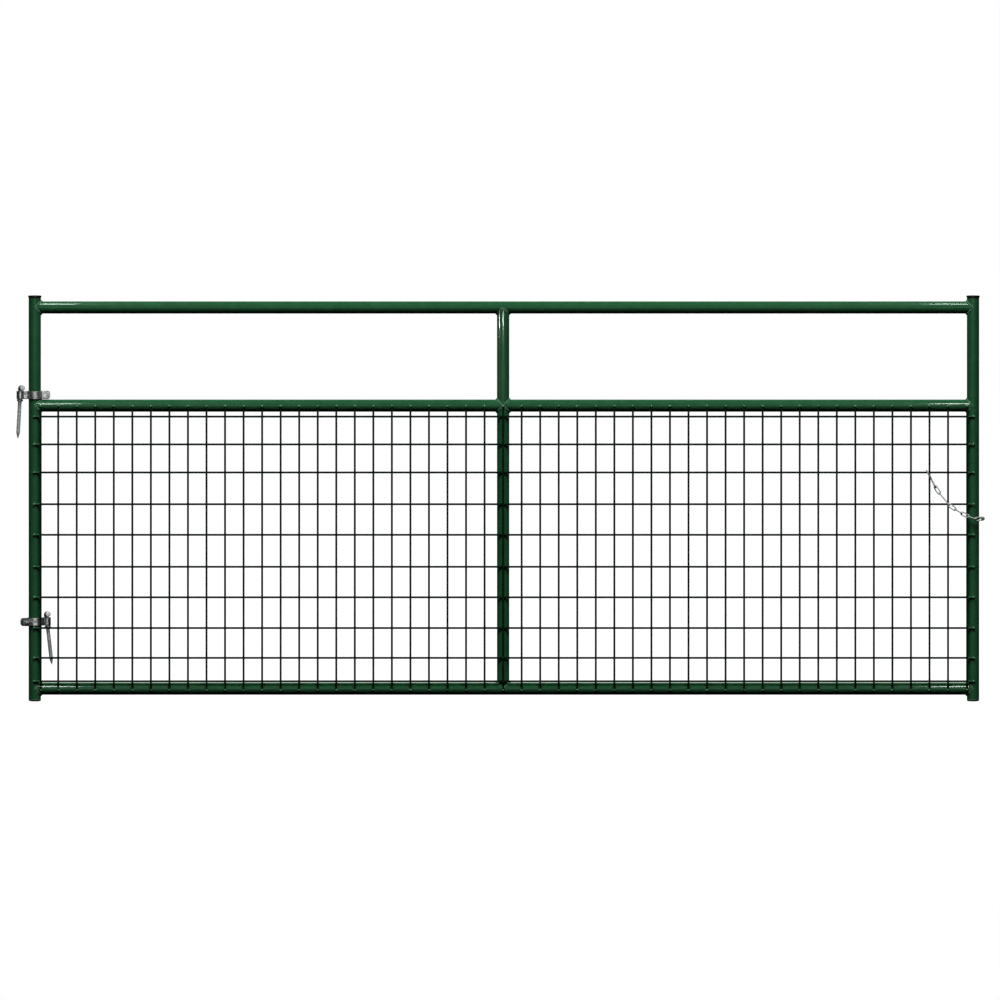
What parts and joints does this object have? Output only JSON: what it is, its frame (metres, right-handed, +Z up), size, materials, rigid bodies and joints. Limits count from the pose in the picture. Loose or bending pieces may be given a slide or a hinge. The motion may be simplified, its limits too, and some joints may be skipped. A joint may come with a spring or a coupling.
{
  "type": "livestock panel gate",
  "caption": "Wire-filled livestock gate: green round-tube frame, welded wire over the lower bay, clamp-strap hinges with lag hooks, and a latch chain with a snap hook.",
  "frame": {"origin": "middle of the hinge stile's foot, on the flat face that it stands on", "axes": "+X along the gate from the hinge stile to the latch stile, +Y from the front, where the wire panel is, to the back, +Z up"},
  "size_m": [3.0287, 0.0866, 1.27],
  "materials": {
    "green_coat": "semi-gloss green powder coat over welds and wire",
    "black_plastic": "moulded, slightly glossy black",
    "zinc_plate": "zinc plated pressed steel, dulled",
    "bright_zinc": "bright zinc plated forged and drawn steel"
  },
  "bodies": {
    "gate_frame": {"hinge_stile": "green_coat", "latch_stile": "green_coat", "top_rail": "green_coat", "middle_rail": "green_coat", "bottom_rail": "green_coat", "centre_upright_upper": "green_coat", "centre_upright_lower": "green_coat", "wire_panel": "green_coat", "chain_anchor": "green_coat", "hinge_stile_cap": "black_plastic", "latch_stile_cap": "black_plastic", "hinge_stile_foot": "black_plastic", "latch_stile_foot": "black_plastic", "snap_hook": "bright_zinc", "snap_gate_pin": "zinc_plate"},
    "upper_clamp": {"upper_hinge_strap": "zinc_plate", "upper_hinge_bolt": "zinc_plate", "upper_hinge_washer": "zinc_plate", "upper_hinge_nut": "zinc_plate"},
    "lower_clamp": {"lower_hinge_strap": "zinc_plate", "lower_hinge_bolt": "zinc_plate", "lower_hinge_washer": "zinc_plate", "lower_hinge_nut": "zinc_plate"},
    "upper_hook": {"upper_lag_hook": "bright_zinc", "upper_hook_keeper": "zinc_plate"},
    "lower_hook": {"lower_lag_hook": "bright_zinc", "lower_hook_keeper": "zinc_plate"},
    "latch_chain": {"chain_link_1": "bright_zinc", "connector_link": "bright_zinc", "chain_link_2": "bright_zinc", "chain_link_3": "bright_zinc", "chain_link_4": "bright_zinc", "chain_link_5": "bright_zinc", "chain_link_6": "bright_zinc"},
    "snap_gate": {"snap_gate": "bright_zinc"}
  },
  "joints": [
    {"name": "upper_clamp_turn", "type": "hinge", "parent": "gate_frame", "child": "upper_clamp", "pos_m": [0, 0, 0.9589], "axis": [0, 0, 1], "range_deg": [-60, 60]},
    {"name": "lower_clamp_turn", "type": "hinge", "parent": "gate_frame", "child": "lower_clamp", "pos_m": [0, 0, 0.249], "axis": [0, 0, 1], "range_deg": [0, 40]},
    {"name": "upper_hook_swivel", "type": "hinge", "parent": "upper_clamp", "child": "upper_hook", "pos_m": [-0.0455, 0, 0.9589], "axis": [0, 0, 1], "range_deg": [-165, 35]},
    {"name": "lower_hook_swivel", "type": "hinge", "parent": "lower_clamp", "child": "lower_hook", "pos_m": [0.03859, 0.02411, 0.249], "axis": [0, 0, 1], "range_deg": [-15, 175]},
    {"name": "chain_swing", "type": "hinge", "parent": "gate_frame", "child": "latch_chain", "pos_m": [2.96332, -0.04, 0.57427], "axis": [-0.8292, 0.0017, 0.5589], "range_deg": [0, 18]},
    {"name": "snap_gate_press", "type": "hinge", "parent": "gate_frame", "child": "snap_gate", "pos_m": [2.80706, -0.0453, 0.69009], "axis": [-0.8821, 0, -0.4711], "range_deg": [0, 11], "stiffness_Nm_per_rad": 0.05, "springref_deg": -11.46}
  ]
}
